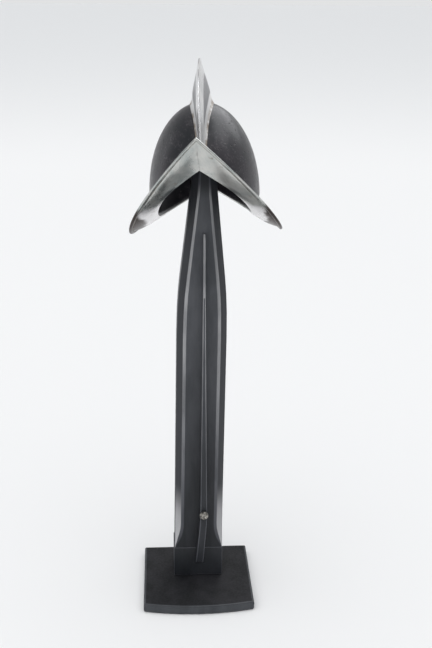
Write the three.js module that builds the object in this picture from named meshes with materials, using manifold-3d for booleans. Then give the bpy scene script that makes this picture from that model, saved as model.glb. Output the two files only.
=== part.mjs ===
// A comb morion: a black steel skull with a bright comb and a bright peaked brim, on a plain black stand.
// Millimetres, +Z up, the front faces -Y. The origin is the centre of the base plate's underside.
import * as THREE from 'three';
import { mergeVertices } from 'three/addons/utils/BufferGeometryUtils.js';
import Module from 'manifold-3d';

// Clearances
const FIT = 0.3; // gap between two pieces that touch

// Helmet: sizes in its own frame, whose origin is the middle of the head opening at its lowest level
const SKULL_HALF_WIDTH = 95.5; // outside, at the widest level
const SKULL_HALF_LENGTH = 116;
const SKULL_WIDEST_Z = 38; // height of the widest level above the low points of the rim
const SKULL_DOME_RISE = 154; // from the widest level up to the crown
const SKULL_TUCK = 13; // how far the sides draw in from the widest level down to the rim
const SKULL_WALL = 1.3;
const RIM_RISE = 61; // height of the front and rear points of the rim above its low points

const BRIM_SIDE_REACH = 53; // level distance from the rim to the brim's edge at each side
const BRIM_SIDE_DROP = 30;
const BRIM_PEAK_REACH = 57; // the same at the front and rear points
const BRIM_PEAK_RISE = 45;
const BRIM_SHEET = 1.4;
const BRIM_DISH = 3; // how far the sheet sags below a straight line from rim to edge
const ROLL_WIDTH = 6.8; // the rolled edge
const ROLL_HEIGHT = 4.2;

const COMB_HEIGHT = 74; // ridge above the crown
const COMB_SHEET = 1.3;
const COMB_FOOT_HALF_WIDTH = 21; // foot strip at the crown
const COMB_RIDGE_HALF_WIDTH = 1;
const COMB_SWING = 4.5; // made by hand, the comb runs a little across the middle: its front end to +X
const COMB_LEAN = 3; // and its ridge leans to -X
const COMB_END_ANGLE = 14; // degrees up from level, where the comb starts and ends
const COMB_END_HEIGHT = 10; // height of its blunt ends

// Where the helmet's origin is, from the middle of the post's top
const HELMET_SIDE = 0.5; // to +X
const HELMET_BACK = 8; // behind the front face of the post
const HELMET_DROP = 129.1; // below its top
const HELMET_YAW = -5.9; // degrees, front towards -X
const HELMET_TILT = -16.4; // front raised
const HELMET_ROLL = -2.9; // crown towards -X

// Stand
const BASE_WIDTH = 206;
const BASE_DEPTH = 206;
const BASE_THICKNESS = 17.5;
const BASE_BOW = 12; // how far the middle of the front edge stands out
const BASE_BEVEL = 2.5;
const BLOCK_HALF_WIDTH = 46.5;
const BLOCK_X = 1.5;
const BLOCK_HEIGHT = 62;
const BLOCK_EDGE = 1.5;
const STAND_FRONT_Y = -8; // front face of the block and the post
const STAND_DEPTH = 60;
const POST_HALF_WIDTH = 45.5;
const POST_TOP_HALF_WIDTH = 20;
const POST_TOP_DEPTH = 46;
const POST_HEIGHT = 780; // from the top of the block
const POST_CORNER = 13.6; // the cut on each front corner
const POST_FOOT_X = 2; // the middle of the post's foot
const POST_LEAN = 10.5; // how far its top stands to +X of its foot
const RIB_X = 11;
const RIB_FOOT_SWING = 8; // how far the rib's foot swings to -X
const RIB_Z = 50;
const RIB_HEIGHT = 648;
const RIB_HALF_WIDTH = 6.5; // near the foot
const RIB_DEPTH = 26; // how far it stands out
const STUD_RADIUS = 8;
const STUD_LENGTH = 11;
const STUD_Z = 165;
const REST_RADIUS = 40;

// Number of facets
const AROUND = 64;
const SKULL_RINGS = 11;
const COMB_STATIONS = 24;

const rad = THREE.MathUtils.degToRad;

// Finishes
const blackPaint = new THREE.MeshStandardMaterial({ color: 0x2f3033, roughness: 0.45, metalness: 0.3 });
const satinSteel = new THREE.MeshStandardMaterial({ color: 0x9aa09e, roughness: 0.35, metalness: 1 });
const polishedSteel = new THREE.MeshStandardMaterial({ color: 0xb9bcbc, roughness: 0.2, metalness: 1 });
const blackWood = new THREE.MeshStandardMaterial({ color: 0x1d1f24, roughness: 0.5, metalness: 0 });

// Turns a body's faces the right way round if its volume comes out negative
function facingOut(points, faces) {
  let volume = 0;
  const a = new THREE.Vector3();
  for (const [i, j, k] of faces) {
    volume += a.crossVectors(points[j], points[k]).dot(points[i]);
  }
  const index = faces.flatMap(([i, j, k]) => (volume < 0 ? [i, k, j] : [i, j, k]));
  const geometry = new THREE.BufferGeometry();
  geometry.setAttribute('position', new THREE.Float32BufferAttribute(points.flatMap((p) => p.toArray()), 3));
  geometry.setIndex(index);
  return geometry;
}

// The faces between two rings of n points that start at two places in the list of points
function band(near, far, n) {
  const faces = [];
  for (let k = 0; k < n; k += 1) {
    const next = (k + 1) % n;
    faces.push([near + k, near + next, far + next], [near + k, far + next, far + k]);
  }
  return faces;
}

// Joins a row of rings with the same number of points. Its two ends are capped, or joined to each other.
function loft(rings, { joined = false, cap = null } = {}) {
  const n = rings[0].length;
  const points = rings.flat();
  const faces = [];
  const last = joined ? rings.length : rings.length - 1;
  for (let r = 0; r < last; r += 1) {
    faces.push(...band(r * n, ((r + 1) % rings.length) * n, n));
  }
  if (!joined) {
    const end = (rings.length - 1) * n;
    for (const [i, j, k] of cap ?? fan(n)) {
      faces.push([k, j, i], [end + i, end + j, end + k]);
    }
  }
  return facingOut(points, faces);
}

// The triangles that fill a convex ring
function fan(n) {
  return Array.from({ length: n - 2 }, (_, k) => [0, k + 1, k + 2]);
}

// The triangles that fill any outline, turned the way its points run
function fill(outline) {
  const points = outline.map(([x, y]) => new THREE.Vector2(x, y));
  const turned = THREE.ShapeUtils.area(points) < 0;
  const area = ([i, j, k]) => THREE.ShapeUtils.area([points[i], points[j], points[k]]);
  const triangles = THREE.ShapeUtils.triangulateShape(points, []);
  return triangles.map((t) => (area(t) < 0 === turned ? t : [t[2], t[1], t[0]]));
}

// Reads a value off a table of [position, value] rows, straight between its rows
function along(table, at, column = 1) {
  const after = table.findIndex((row) => row[0] >= at);
  if (after === -1) return table[table.length - 1][column];
  if (after === 0) return table[0][column];
  const [low, high] = [table[after - 1], table[after]];
  const share = (at - low[0]) / (high[0] - low[0]);
  return THREE.MathUtils.lerp(low[column], high[column], share);
}

// Skull: a half ellipsoid above its widest level that draws in below it

// The two half sizes of the skull at a level, inset for its inner face
function skullHalves(z, inset) {
  const up = (z - SKULL_WIDEST_Z) / (SKULL_DOME_RISE - inset);
  if (up >= 0) {
    const share = Math.sqrt(Math.max(0, 1 - up * up));
    return [(SKULL_HALF_WIDTH - inset) * share, (SKULL_HALF_LENGTH - inset) * share];
  }
  const down = (SKULL_WIDEST_Z - z) / SKULL_WIDEST_Z;
  const tuck = SKULL_TUCK * down * down;
  return [SKULL_HALF_WIDTH - inset - tuck, SKULL_HALF_LENGTH - inset - tuck];
}

function skullPoint(turn, z, inset) {
  const [a, b] = skullHalves(z, inset);
  return new THREE.Vector3(a * Math.cos(turn), b * Math.sin(turn), z);
}

// Height of the head opening's edge: it rises in straight lines to a point at the front and rear
function rimHeight(turn) {
  return RIM_RISE * (1 - Math.abs(Math.cos(turn)));
}

// The brim's upper face where it meets the skull's inner face, and its outer edge
function brimInner(turn) {
  return skullPoint(turn, rimHeight(turn), SKULL_WALL);
}

const EDGE_POINT = 1.3; // below 2 the brim's plan comes to a point at the front and rear
const EDGE_RISE_CURVE = 0.86;

function brimOuter(turn) {
  const across = Math.abs(Math.cos(turn));
  const rimSide = skullHalves(0, SKULL_WALL)[0];
  const rimPeak = skullHalves(RIM_RISE, SKULL_WALL)[1];
  const peak = RIM_RISE + BRIM_PEAK_RISE;
  return new THREE.Vector3(
    (rimSide + BRIM_SIDE_REACH) * Math.cos(turn),
    (rimPeak + BRIM_PEAK_REACH) * Math.sqrt(1 - across ** EDGE_POINT) * Math.sign(Math.sin(turn)),
    (peak + BRIM_SIDE_DROP) * (1 - across) ** EDGE_RISE_CURVE - BRIM_SIDE_DROP,
  );
}

// Slope of the brim's upper face away from the skull
function brimSlope(turn) {
  const run = brimOuter(turn).sub(brimInner(turn));
  return run.z / Math.hypot(run.x, run.y);
}

function skullRing(turns, share, inset) {
  return turns.map((turn) => {
    const rim = rimHeight(turn) + FIT + (SKULL_WALL - inset) * brimSlope(turn);
    const up = (rim - SKULL_WIDEST_Z) / (SKULL_DOME_RISE - inset);
    const first = up < 0 ? up : Math.asin(up);
    const angle = THREE.MathUtils.lerp(first, Math.PI / 2, share);
    const rise = angle < 0 ? angle : Math.sin(angle);
    return skullPoint(turn, SKULL_WIDEST_Z + (SKULL_DOME_RISE - inset) * rise, inset);
  });
}

// Joins a row of rings and closes its two ends in a point each
function closedByPoints(rings, first, last) {
  const n = rings[0].length;
  const end = (rings.length - 1) * n;
  const tip = rings.length * n;
  const faces = [];
  for (let r = 0; r < rings.length - 1; r += 1) {
    faces.push(...band(r * n, (r + 1) * n, n));
  }
  for (let k = 0; k < n; k += 1) {
    const next = (k + 1) % n;
    faces.push([next, k, tip], [end + k, end + next, tip + 1]);
  }
  return facingOut([...rings.flat(), first, last], faces);
}

function skullRings(inset) {
  const turns = turnsAround(AROUND);
  return Array.from({ length: SKULL_RINGS }, (_, k) => skullRing(turns, k / SKULL_RINGS, inset));
}

function skullCrown(inset) {
  return new THREE.Vector3(0, 0, SKULL_WIDEST_Z + SKULL_DOME_RISE - inset);
}

function turnsAround(count) {
  return Array.from({ length: count }, (_, k) => (k / count) * Math.PI * 2);
}

// A shell open below: its outer rings run down from the crown, its inner rings run back up
function makeSkull() {
  const rings = [...skullRings(0).reverse(), ...skullRings(SKULL_WALL)];
  return closedByPoints(rings, skullCrown(0), skullCrown(SKULL_WALL));
}

// The solid that fills the skull's hollow with a small gap
function makeHollow() {
  const inset = SKULL_WALL + FIT;
  return closedByPoints(skullRings(inset), new THREE.Vector3(0, 0, 0), skullCrown(inset));
}

// Brim: one section, turned to the slope at each station, joined right round

// The rolled edge's outline, as shares of its width and height, from the upper face round to the lower one
const ROLL_OUTLINE = [
  // along, height
  [0.14, 0.32],
  [0.5, 0.5],
  [0.86, 0.34],
  [1, 0],
  [0.86, -0.34],
  [0.5, -0.5],
  [0.14, -0.32],
];

function brimSection(turn) {
  const inner = brimInner(turn);
  const run = brimOuter(turn).sub(inner);
  const length = run.length();
  const outward = run.clone().normalize();
  const level = new THREE.Vector3(-outward.y, outward.x, 0).normalize();
  const normal = new THREE.Vector3().crossVectors(outward, level).normalize();
  const flat = length - ROLL_WIDTH;
  const place = (s, h) => inner.clone().addScaledVector(outward, s).addScaledVector(normal, h);
  const sag = (share) => -4 * BRIM_DISH * share * (1 - share);
  const sheet = [0, 0.25, 0.5, 0.75].map((share) => [share * flat, sag(share)]);
  const roll = ROLL_OUTLINE.map(([x, h]) => place(flat + x * ROLL_WIDTH, h * ROLL_HEIGHT - BRIM_SHEET / 2));
  const upper = sheet.map(([s, h]) => place(s, h));
  const lower = sheet.reverse().map(([s, h]) => place(s, h - BRIM_SHEET));
  return [...upper, ...roll, ...lower];
}

function makeBrim() {
  return loft(turnsAround(AROUND).map(brimSection), { joined: true });
}

// Comb: a hollow crest whose flared foot lies along the skull, from above the front peak to the rear one

// One side of the section: height as a share of the comb's height there, half width as a share of the foot's
const COMB_PROFILE = [
  // height, half width
  [0.75, 0.28],
  [0.5, 0.55],
  [0.28, 0.73],
  [0.13, 0.8],
  [0.04, 0.88],
];

// Half width of the foot, as a share of that at the crown
const COMB_FOOT = [
  // degrees up from level, share
  [COMB_END_ANGLE, 0.36],
  [28, 0.45],
  [45, 0.63],
  [60, 0.86],
  [75, 0.97],
  [90, 1],
];
const COMB_ARCH = 1.1; // above 1 the ridge rises more gently from its ends

// A point over the skull's outer face: by the angle up from level, distance from the comb's middle and height
function overSkull(angle, across, height) {
  const x = across + COMB_SWING * Math.cos(angle);
  const width = SKULL_HALF_WIDTH + FIT;
  const length = SKULL_HALF_LENGTH + FIT;
  const rise = SKULL_DOME_RISE + FIT;
  const share = Math.sqrt(1 - (x / width) ** 2);
  const out = new THREE.Vector3(0, -Math.cos(angle) / length, Math.sin(angle) / rise).normalize();
  const lean = (COMB_LEAN * height) / COMB_HEIGHT;
  const foot = new THREE.Vector3(
    x,
    -length * Math.cos(angle) * share,
    SKULL_WIDEST_Z + rise * Math.sin(angle) * share,
  );
  foot.addScaledVector(out, height);
  return foot.setX(x - lean);
}

// The section's outline as pairs of width and height: down one side outside, up inside, and mirrored
function combOutline(degrees) {
  const foot = COMB_FOOT_HALF_WIDTH * along(COMB_FOOT, Math.min(degrees, 180 - degrees));
  const round = (Math.PI * (degrees - COMB_END_ANGLE)) / (180 - 2 * COMB_END_ANGLE);
  const arch = Math.max(0, Math.sin(round)) ** COMB_ARCH;
  const height = THREE.MathUtils.lerp(COMB_END_HEIGHT, COMB_HEIGHT, arch);
  const side = COMB_PROFILE.map(([h, w]) => [w * foot, COMB_SHEET + h * (height - COMB_SHEET)]);
  const outer = [[COMB_RIDGE_HALF_WIDTH, height], ...side, [foot, COMB_SHEET], [foot, 0]];
  const inner = side.map(([w, h]) => [Math.max(w - COMB_SHEET, 0.2 * w), h]);
  inner[inner.length - 1][1] = 0;
  const [firstWidth, firstHeight] = side[0];
  const hollow = (firstWidth - 1.2 * COMB_SHEET) / (firstWidth - COMB_RIDGE_HALF_WIDTH);
  const apex = firstHeight + (height - firstHeight) * THREE.MathUtils.clamp(hollow, 0.05, 0.9);
  const half = [...outer, ...inner.reverse(), [0.1 * firstWidth, apex]];
  return [...half, ...half.map(([w, h]) => [-w, h]).reverse()];
}

function makeComb() {
  const rings = [];
  for (let k = 0; k <= COMB_STATIONS; k += 1) {
    const degrees = THREE.MathUtils.lerp(COMB_END_ANGLE, 180 - COMB_END_ANGLE, k / COMB_STATIONS);
    rings.push(combOutline(degrees).map(([w, h]) => overSkull(rad(degrees), w, h)));
  }
  return loft(rings, { cap: fill(combOutline(COMB_END_ANGLE)) });
}

// Stand

const BLOCK_Z = BASE_THICKNESS + FIT;
const POST_Z = BLOCK_Z + BLOCK_HEIGHT + FIT;
const POST_TOP_Z = POST_Z + POST_HEIGHT;

function makeBase() {
  const x = BASE_WIDTH / 2;
  const y = BASE_DEPTH / 2;
  const plan = new THREE.Shape();
  plan.moveTo(x, -y);
  plan.lineTo(x, y);
  plan.lineTo(-x, y);
  plan.lineTo(-x, -y);
  plan.quadraticCurveTo(0, -y - 2 * BASE_BOW, x, -y);
  return slab(plan, BASE_THICKNESS, BASE_BEVEL, 0);
}

// A flat plate of a given plan, standing at a level, with all its edges cut off a little
function slab(plan, thickness, edge, z) {
  const geometry = new THREE.ExtrudeGeometry(plan, {
    depth: thickness - 2 * edge,
    bevelThickness: edge,
    bevelSize: edge,
    bevelOffset: -edge,
    bevelSegments: 1,
    curveSegments: 12,
  });
  return geometry.translate(0, 0, z + edge);
}

function makeBlock() {
  const [left, right] = [BLOCK_X - BLOCK_HALF_WIDTH, BLOCK_X + BLOCK_HALF_WIDTH];
  const plan = new THREE.Shape();
  plan.moveTo(right, STAND_FRONT_Y);
  plan.lineTo(right, STAND_FRONT_Y + STAND_DEPTH);
  plan.lineTo(left, STAND_FRONT_Y + STAND_DEPTH);
  plan.lineTo(left, STAND_FRONT_Y);
  plan.closePath();
  return slab(plan, BLOCK_HEIGHT, BLOCK_EDGE, BLOCK_Z);
}

// The post's sections: height as a share of its own, then shares from foot size (0) to top size (1),
// and the corner cut as a share of its full size
const POST_SECTIONS = [
  // height, taper, corner cut
  [0, 0, 0.05],
  [0.006, 0, 0.16],
  [0.018, 0, 0.45],
  [0.034, 0, 0.76],
  [0.05, 0, 0.95],
  [0.063, 0, 1],
  [0.54, 0, 1],
  [0.6, 0.03, 1],
  [0.645, 0.1, 1],
  [0.685, 0.21, 1],
  [0.88, 0.85, 1],
  [0.95, 0.97, 0.95],
  [1, 1, 0.9],
];

function makePost() {
  const rings = POST_SECTIONS.map(([height, taper, cut]) => {
    const half = THREE.MathUtils.lerp(POST_HALF_WIDTH, POST_TOP_HALF_WIDTH, taper);
    const back = STAND_FRONT_Y + THREE.MathUtils.lerp(STAND_DEPTH, POST_TOP_DEPTH, taper);
    const x = POST_FOOT_X + POST_LEAN * height;
    const z = POST_Z + POST_HEIGHT * height;
    const corner = POST_CORNER * cut;
    const side = [
      [half, back],
      [half, STAND_FRONT_Y + corner],
      [half - corner, STAND_FRONT_Y],
    ];
    const section = [...side, ...side.map(([w, y]) => [-w, y]).reverse()];
    return section.map(([w, y]) => new THREE.Vector3(x + w, y, z));
  });
  return loft(rings);
}

// The rib's sections: height and how far it stands out, as shares of its own, its width as a share of
// that at the foot, and how far its middle is from its upper line, as a share of RIB_FOOT_SWING
const RIB_SECTIONS = [
  // height, stands out, width, swing
  [0, 0.25, 1.1, 1],
  [0.012, 0.7, 1.1, 0.93],
  [0.05, 0.92, 1.06, 0.7],
  [0.1, 1, 1.02, 0.36],
  [0.14, 1, 1, 0.1],
  [0.18, 1, 0.97, 0],
  [0.55, 0.8, 0.6, 0],
  [0.86, 0.6, 0.32, 0],
  [0.985, 0.5, 0.29, 0],
  [1, 0.3, 0.26, 0],
];

function makeRib() {
  const back = STAND_FRONT_Y - FIT;
  const rings = RIB_SECTIONS.map(([height, out, width, swing]) => {
    const x = RIB_X - RIB_FOOT_SWING * swing;
    const half = RIB_HALF_WIDTH * width;
    const z = RIB_Z + RIB_HEIGHT * height;
    const front = back - RIB_DEPTH * out;
    const section = [[half, back], [half, front], [-half, front], [-half, back]];
    return section.map(([w, y]) => new THREE.Vector3(x + w, y, z));
  });
  return loft(rings);
}

// From the rib outwards, as shares of the stud's radius and length
const STUD_OUTLINE = [
  // radius, length
  [0, 0],
  [0.62, 0],
  [0.62, 0.3],
  [1, 0.36],
  [1, 0.72],
  [0.72, 0.94],
  [0, 1],
];

// A round-headed stud that stands out of the rib's front
function makeStud() {
  const profile = STUD_OUTLINE.map(([r, l]) => new THREE.Vector2(r * STUD_RADIUS, l * STUD_LENGTH));
  const geometry = new THREE.LatheGeometry(profile, 24);
  const front = STAND_FRONT_Y - FIT - RIB_DEPTH;
  return geometry.rotateX(Math.PI).translate(RIB_X, front - FIT, STUD_Z);
}

// Boolean helpers
const wasm = await Module();
wasm.setup();

function solidOf(geometry) {
  const bare = geometry.clone();
  bare.deleteAttribute('normal');
  bare.deleteAttribute('uv');
  const merged = mergeVertices(bare, 1e-4);
  return new wasm.Manifold(new wasm.Mesh({
    numProp: 3,
    vertProperties: new Float32Array(merged.attributes.position.array),
    triVerts: new Uint32Array(merged.index.array),
  }));
}

function geometryOf(solid) {
  const mesh = solid.getMesh();
  const geometry = new THREE.BufferGeometry();
  geometry.setAttribute('position', new THREE.BufferAttribute(new Float32Array(mesh.vertProperties), 3));
  geometry.setIndex(new THREE.BufferAttribute(new Uint32Array(mesh.triVerts), 1));
  return geometry;
}

// The rest is a round block cut to the helmet's hollow, so the crown sits on it
function makeRest(helmetMatrix) {
  const bottom = POST_TOP_Z + FIT;
  const height = SKULL_DOME_RISE;
  const block = new THREE.CylinderGeometry(REST_RADIUS, REST_RADIUS, height, 32, 1);
  block.rotateX(Math.PI / 2);
  block.translate(POST_FOOT_X + POST_LEAN, STAND_FRONT_Y + REST_RADIUS, bottom + height / 2);
  const hollow = makeHollow().applyMatrix4(helmetMatrix);
  return geometryOf(solidOf(block).intersect(solidOf(hollow)));
}

// Assembly
function piece(name, geometry, material) {
  const shaded = geometry.index ? geometry.toNonIndexed() : geometry;
  shaded.computeVertexNormals();
  const mesh = new THREE.Mesh(shaded, material);
  mesh.name = name;
  return mesh;
}

const helmet = new THREE.Group();
helmet.position.set(
  POST_FOOT_X + POST_LEAN + HELMET_SIDE,
  STAND_FRONT_Y + HELMET_BACK,
  POST_TOP_Z - HELMET_DROP,
);
helmet.rotation.set(rad(HELMET_TILT), rad(HELMET_ROLL), rad(HELMET_YAW), 'ZYX');
helmet.updateMatrix();
helmet.add(piece('skull', makeSkull(), blackPaint));
helmet.add(piece('comb', makeComb(), polishedSteel));
helmet.add(piece('brim', makeBrim(), satinSteel));

const stand = new THREE.Group();
stand.add(piece('base_plate', makeBase(), blackWood));
stand.add(piece('foot_block', makeBlock(), blackWood));
stand.add(piece('post', makePost(), blackWood));
stand.add(piece('front_rib', makeRib(), blackWood));
stand.add(piece('stud', makeStud(), satinSteel));
stand.add(piece('head_rest', makeRest(helmet.matrix), blackWood));

const group = new THREE.Group();
group.add(stand, helmet);

export default group;
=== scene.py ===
# %% [markdown]
# A comb morion on its stand.
# The helmet is three sheets of steel: a black bowl, a bright crest along its middle, called the comb,
# and a bright brim that dips at the sides and rises to a point at the front and rear.
# Shapes are written in millimetres and laid down in metres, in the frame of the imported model, so nothing
# has to be fitted afterwards.

# %% Load the fixed frame
import math

import bmesh
import bpy
from mathutils import Euler, Matrix, Vector


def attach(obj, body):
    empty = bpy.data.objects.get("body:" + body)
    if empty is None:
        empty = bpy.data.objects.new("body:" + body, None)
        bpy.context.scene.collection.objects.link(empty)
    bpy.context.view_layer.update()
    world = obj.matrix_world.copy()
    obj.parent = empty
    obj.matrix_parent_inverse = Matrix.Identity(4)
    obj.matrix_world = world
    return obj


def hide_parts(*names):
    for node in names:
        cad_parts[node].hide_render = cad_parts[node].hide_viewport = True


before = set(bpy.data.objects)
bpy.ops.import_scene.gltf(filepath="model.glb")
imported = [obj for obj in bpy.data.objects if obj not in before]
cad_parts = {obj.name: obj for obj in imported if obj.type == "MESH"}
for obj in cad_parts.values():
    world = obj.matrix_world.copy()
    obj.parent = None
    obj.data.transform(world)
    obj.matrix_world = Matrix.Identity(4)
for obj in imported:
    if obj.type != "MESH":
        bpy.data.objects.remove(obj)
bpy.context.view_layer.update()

MM = 0.001


# %% [markdown]
# The helmet is modelled level, in a frame of its own whose origin is the middle of the head opening,
# and one matrix carries each finished mesh to its tilted seat on the stand.
# The other way is to turn the object, but a piece with its place in its mesh keeps its patterns still.

# %% Where the helmet sits
HELMET_ORIGIN = Vector((13, 0, 731)) * MM
TIPPED_BACK = 16.4
LEANING = 2.9
TURNED_ASIDE = 5.9
HELMET_TURN = Euler([-math.radians(angle) for angle in (TIPPED_BACK, LEANING, TURNED_ASIDE)], "XYZ")
to_seat = Matrix.Translation(HELMET_ORIGIN) @ HELMET_TURN.to_matrix().to_4x4()
print("the helmet tips back by", TIPPED_BACK, "degrees")

# %% [markdown]
# Curved sheets are made from a plain grid of faces. Each corner of the grid is moved to its place on
# the sheet by a rule that takes two shares from 0 to 1, and the seam where the grid's edges meet is
# welded. That keeps the faces in even rows, which polished steel needs: a reflection shows each bump.

# %% A grid laid over a rule
WELD = 0.02 * MM


def laid_grid(columns, rows, place, finish=None):
    """Lays a grid over place(u, v), with lengths in mm, welds it and turns its faces outwards."""
    shape = bmesh.new()
    bmesh.ops.create_grid(shape, x_segments=columns, y_segments=rows, size=0.5)
    if finish is not None:
        for face in shape.faces:
            middle = face.calc_center_median()
            face.material_index = finish(middle.x + 0.5, middle.y + 0.5)
    for corner in shape.verts:
        corner.co = Vector(place(corner.co.x + 0.5, corner.co.y + 0.5)) * MM
    bmesh.ops.remove_doubles(shape, verts=shape.verts, dist=WELD)
    bmesh.ops.dissolve_degenerate(shape, edges=shape.edges, dist=WELD)
    bmesh.ops.recalc_face_normals(shape, faces=shape.faces)
    return shape


def close_ends(shape):
    """Fills the open ends of a laid shape and turns its faces outwards again."""
    open_edges = [edge for edge in shape.edges if edge.is_boundary]
    bmesh.ops.holes_fill(shape, edges=open_edges, sides=0)
    bmesh.ops.recalc_face_normals(shape, faces=shape.faces)


# %% [markdown]
# Each finished mesh becomes one piece of the model. It is shaded smooth, except along edges that are
# really sharp. It stands for a node of the solid model, which is hidden in its favour.

# %% A mesh becomes a piece
def make_piece(name, shape, nodes, seat=None, sharp=40):
    """Turns a bmesh into a smooth piece that rides on the root and stands for the named nodes."""
    mesh = bpy.data.meshes.new(name)
    shape.to_mesh(mesh)
    shape.free()
    if seat is not None:
        mesh.transform(seat)
    mesh.polygons.foreach_set("use_smooth", [True] * len(mesh.polygons))
    mesh.set_sharp_from_angle(angle=math.radians(sharp))
    piece = bpy.data.objects.new(name, mesh)
    bpy.context.scene.collection.objects.link(piece)
    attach(piece, "root")
    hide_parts(*nodes)
    print(name, "has", len(mesh.polygons), "faces")
    return piece


# %% [markdown]
# The skull is a bowl raised from one sheet: half an egg above its widest level, and drawn in a little
# below it. Its rim climbs in straight lines to a point at the front and rear, where the brim follows.
# A spin would give it a level rim, so it is laid as a grid, which can start from any line.

# %% The skull's form
SKULL_HALF_WIDTH = 95.5
SKULL_HALF_LENGTH = 116
SKULL_WIDEST = 38
SKULL_RISE = 154
SKULL_TUCK = 13
SKULL_WALL = 1.3
RIM_RISE = 61


def skull_halves(z, inset=0.0):
    """Half width and half length of the skull at a level."""
    up = (z - SKULL_WIDEST) / (SKULL_RISE - inset)
    if up >= 0:
        share = math.sqrt(max(0.0, 1 - up * up))
        return (SKULL_HALF_WIDTH - inset) * share, (SKULL_HALF_LENGTH - inset) * share
    tuck = SKULL_TUCK * ((SKULL_WIDEST - z) / SKULL_WIDEST) ** 2
    return SKULL_HALF_WIDTH - inset - tuck, SKULL_HALF_LENGTH - inset - tuck


def skull_point(turn, z, inset=0.0):
    """A point on the skull by its angle round, from the right side, and its level."""
    half_width, half_length = skull_halves(z, inset)
    return Vector((half_width * math.cos(turn), half_length * math.sin(turn), z))


def rim_height(turn):
    return RIM_RISE * (1 - abs(math.cos(turn)))


print("the skull is", 2 * SKULL_HALF_WIDTH, "mm wide and", SKULL_WIDEST + SKULL_RISE, "mm high")

# %% [markdown]
# The brim's edge is a second closed line. Seen from above it comes to a soft point at the front and
# rear, and it climbs there faster than the rim does, so the sheet between them stands up like a peak.
# Both lines are rules of the angle round the head, so they can't drift apart as a drawn curve might.

# %% The brim's edge
SIDE_REACH = 53
SIDE_DROP = 30
PEAK_REACH = 57
PEAK_RISE = 45
EDGE_POINT = 1.3
EDGE_CURVE = 0.86
EDGE_CLIMB = RIM_RISE + PEAK_RISE + SIDE_DROP


def brim_inner(turn):
    return skull_point(turn, rim_height(turn), SKULL_WALL)


def brim_outer(turn):
    across = min(1.0, abs(math.cos(turn)))
    side = skull_halves(0, SKULL_WALL)[0] + SIDE_REACH
    peak = skull_halves(RIM_RISE, SKULL_WALL)[1] + PEAK_REACH
    return Vector((
        side * math.cos(turn),
        math.copysign(peak * math.sqrt(1 - across ** EDGE_POINT), math.sin(turn)),
        EDGE_CLIMB * (1 - across) ** EDGE_CURVE - SIDE_DROP,
    ))


def brim_run(turn):
    """The straight way from the rim out to the edge."""
    return brim_outer(turn) - brim_inner(turn)


print("the brim is", round(brim_run(0).length), "mm wide at the side")
print("the brim is", round(brim_run(math.pi / 2).length), "mm wide at the peak")

# %% [markdown]
# The bowl stands on the brim's inner edge, and the brim slopes. So the bowl's outer face starts at a
# level that follows the slope across the wall, up at the peaks and down at the sides. Only this face
# is laid, and a Solidify modifier gives the sheet its thickness inwards, which stays easy to change.

# %% Lay the skull
# FIT is the gap between neighbouring pieces, in mm
FIT = 0.3
SKULL_COLUMNS = 160
SKULL_ROWS = 56


def skull_surface(u, v):
    """u goes round, v from the rim to the crown."""
    turn = 2 * math.pi * u
    run = brim_run(turn)
    slope = run.z / math.hypot(run.x, run.y)
    rim = rim_height(turn) + FIT + SKULL_WALL * slope
    up = (rim - SKULL_WIDEST) / SKULL_RISE
    low = up if up < 0 else math.asin(up)
    angle = low + (math.pi / 2 - low) * v
    rise = angle if angle < 0 else math.sin(angle)
    return skull_point(turn, SKULL_WIDEST + SKULL_RISE * rise)


skull_shape = laid_grid(SKULL_COLUMNS, SKULL_ROWS, skull_surface)
skull = make_piece("skull_bowl", skull_shape, ["skull"], to_seat)
wall = skull.modifiers.new("sheet", "SOLIDIFY")
wall.thickness = SKULL_WALL * MM
wall.offset = -1

# %% [markdown]
# The brim is a sheet with a rolled edge: the smith turns the rim of the sheet over a wire, which makes
# it stiff and blunt. The roll leaves a fine groove on both sides, which holds dirt and shows as a line.
# A curve with a bevel could sweep such an edge, but it would be a second piece with a seam. Here one
# closed outline carries sheet, groove and roll.

# %% The brim's section
BRIM_SHEET = 1.4
BRIM_DISH = 3
ROLL_WIDTH = 6.8
GROOVE_WIDTH = 0.9
SHEET_STEPS = 10

# across the roll from its inner side, and height above the sheet's upper face, in mm
ROLL_OUTLINE = [
    (-GROOVE_WIDTH, 0.0),
    (0.0, -0.5),
    (0.3, 0.2),
    (0.8, 1.0),
    (1.8, 1.7),
    (3.4, 1.95),
    (5.0, 1.6),
    (6.1, 0.9),
    (6.65, 0.1),
    (ROLL_WIDTH, -0.75),
    (6.65, -1.7),
    (6.1, -2.6),
    (5.0, -3.2),
    (3.4, -3.45),
    (1.9, -3.1),
    (0.9, -2.4),
    (0.35, -1.5),
    (0.0, -0.85),
    (-GROOVE_WIDTH, -BRIM_SHEET),
]
BRIM_POINTS = 2 * SHEET_STEPS + len(ROLL_OUTLINE)


def sag(share):
    """How far the sheet dips between the rim and the roll."""
    return -4 * BRIM_DISH * share * (1 - share)


def brim_outline(flat):
    """The section's outline for a sheet of this width inside its roll."""
    shares = [step / SHEET_STEPS for step in range(SHEET_STEPS)]
    upper = [(share * (flat - GROOVE_WIDTH), sag(share)) for share in shares]
    roll = [(flat + across, height) for across, height in ROLL_OUTLINE]
    lower = [(along_sheet, height - BRIM_SHEET) for along_sheet, height in reversed(upper)]
    return upper + roll + lower + upper[:1]


print("the brim's outline has", BRIM_POINTS, "points")

# %% [markdown]
# The outline is swept right round the rim. At each step it is turned to face along the way from rim to
# edge, and its flat part is as wide as that way leaves room for. The faces in the groove are counted
# out, so that they can take a finish of their own.

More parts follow.
